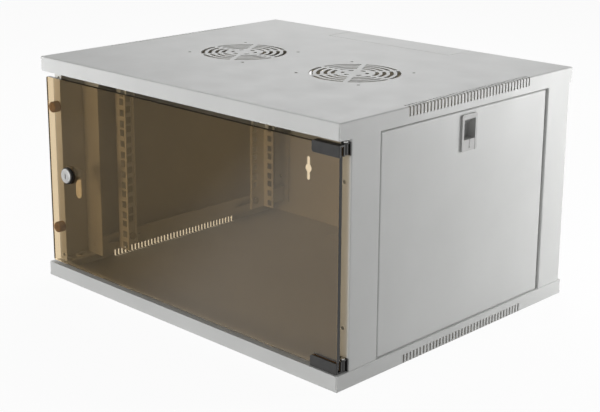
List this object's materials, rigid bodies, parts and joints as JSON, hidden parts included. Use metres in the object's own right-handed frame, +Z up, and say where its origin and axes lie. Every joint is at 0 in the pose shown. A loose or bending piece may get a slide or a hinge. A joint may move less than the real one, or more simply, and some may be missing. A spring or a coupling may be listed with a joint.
{
  "type": "wall mount network cabinet",
  "caption": "6U wall mount network cabinet with glass door, side panels on latches, fan grilles and adjustable 19 inch rails.",
  "frame": {"origin": "under the middle of the base, on its lower face", "axes": "+X towards the door's hinge side, +Y towards the wall, +Z up"},
  "size_m": [0.546, 0.447, 0.312],
  "materials": {
    "body_grey": "fine textured powder coat",
    "zinc_steel": "satin powder coat on the rails",
    "bright_screw": "bright zinc plated",
    "latch_plastic": "moulded, matt",
    "tinted_glass": "bronze tinted, polished",
    "black_metal": "satin black",
    "hinge_steel": "turned",
    "lock_chrome": "polished",
    "soft_rubber": "matt black"
  },
  "bodies": {
    "cabinet": {"base_cover": "body_grey", "bracket_screws": "bright_screw", "column_front_left": "body_grey", "column_front_right": "body_grey", "column_rear_left": "body_grey", "column_rear_right": "body_grey", "door_bumpers": "soft_rubber", "frame_bolts": "bright_screw", "frame_nuts": "bright_screw", "hinge_bracket_lower": "black_metal", "hinge_bracket_upper": "black_metal", "latch_housing_left": "latch_plastic", "latch_housing_right": "latch_plastic", "latch_spring_left": "bright_screw", "latch_spring_right": "bright_screw", "rear_panel": "body_grey", "rear_panel_screws": "bright_screw", "side_panel_left": "body_grey", "side_panel_right": "body_grey", "sill_lower_left": "body_grey", "sill_lower_right": "body_grey", "sill_screws": "bright_screw", "sill_upper_left": "body_grey", "sill_upper_right": "body_grey", "top_cover": "body_grey"},
    "door": {"glass_door": "tinted_glass", "hinge_clamp_lower": "black_metal", "hinge_clamp_upper": "black_metal", "clamp_pads": "soft_rubber", "clamp_set_screws": "black_metal", "hinge_pin_lower": "hinge_steel", "hinge_pin_upper": "hinge_steel", "lock_body": "lock_chrome", "lock_collar": "black_metal", "lock_nut": "bright_screw"},
    "lock_core": {"lock_plug": "lock_chrome", "lock_cam": "bright_screw", "cam_screw": "bright_screw"},
    "latch_left": {"latch_slider_left": "latch_plastic"},
    "rail_front_left_carriage": {"rail_front_left": "zinc_steel", "rail_front_left_bolts": "bright_screw", "rail_front_left_nuts": "bright_screw"},
    "rail_rear_left_carriage": {"rail_rear_left": "zinc_steel", "rail_rear_left_bolts": "bright_screw", "rail_rear_left_nuts": "bright_screw"},
    "latch_right": {"latch_slider_right": "latch_plastic"},
    "rail_front_right_carriage": {"rail_front_right": "zinc_steel", "rail_front_right_bolts": "bright_screw", "rail_front_right_nuts": "bright_screw"},
    "rail_rear_right_carriage": {"rail_rear_right": "zinc_steel", "rail_rear_right_bolts": "bright_screw", "rail_rear_right_nuts": "bright_screw"}
  },
  "joints": [
    {"name": "door_hinge", "type": "hinge", "parent": "cabinet", "child": "door", "pos_m": [0.268, -0.2082, 0.1535], "axis": [0, 0, 1], "range_deg": [0, 110]},
    {"name": "lock_turn", "type": "hinge", "parent": "door", "child": "lock_core", "pos_m": [-0.2265, -0.213, 0.153], "axis": [0, 1, 0], "range_deg": [0, 90]},
    {"name": "latch_left_release", "type": "slide", "parent": "cabinet", "child": "latch_left", "axis": [0, 0, -1], "range_m": [0, 0.0065], "stiffness_N_per_m": 400, "springref_m": -0.004, "deforming": ["latch_spring_left"]},
    {"name": "latch_right_release", "type": "slide", "parent": "cabinet", "child": "latch_right", "axis": [0, 0, -1], "range_m": [0, 0.0065], "stiffness_N_per_m": 400, "springref_m": -0.004, "deforming": ["latch_spring_right"]},
    {"name": "rail_front_left_depth", "type": "slide", "parent": "cabinet", "child": "rail_front_left_carriage", "axis": [0, 1, 0], "range_m": [-0.035, 0.003]},
    {"name": "rail_front_right_depth", "type": "slide", "parent": "cabinet", "child": "rail_front_right_carriage", "axis": [0, 1, 0], "range_m": [-0.035, 0.003]},
    {"name": "rail_rear_left_depth", "type": "slide", "parent": "cabinet", "child": "rail_rear_left_carriage", "axis": [0, 1, 0], "range_m": [-0.035, 0.003]},
    {"name": "rail_rear_right_depth", "type": "slide", "parent": "cabinet", "child": "rail_rear_right_carriage", "axis": [0, 1, 0], "range_m": [-0.035, 0.003]}
  ]
}
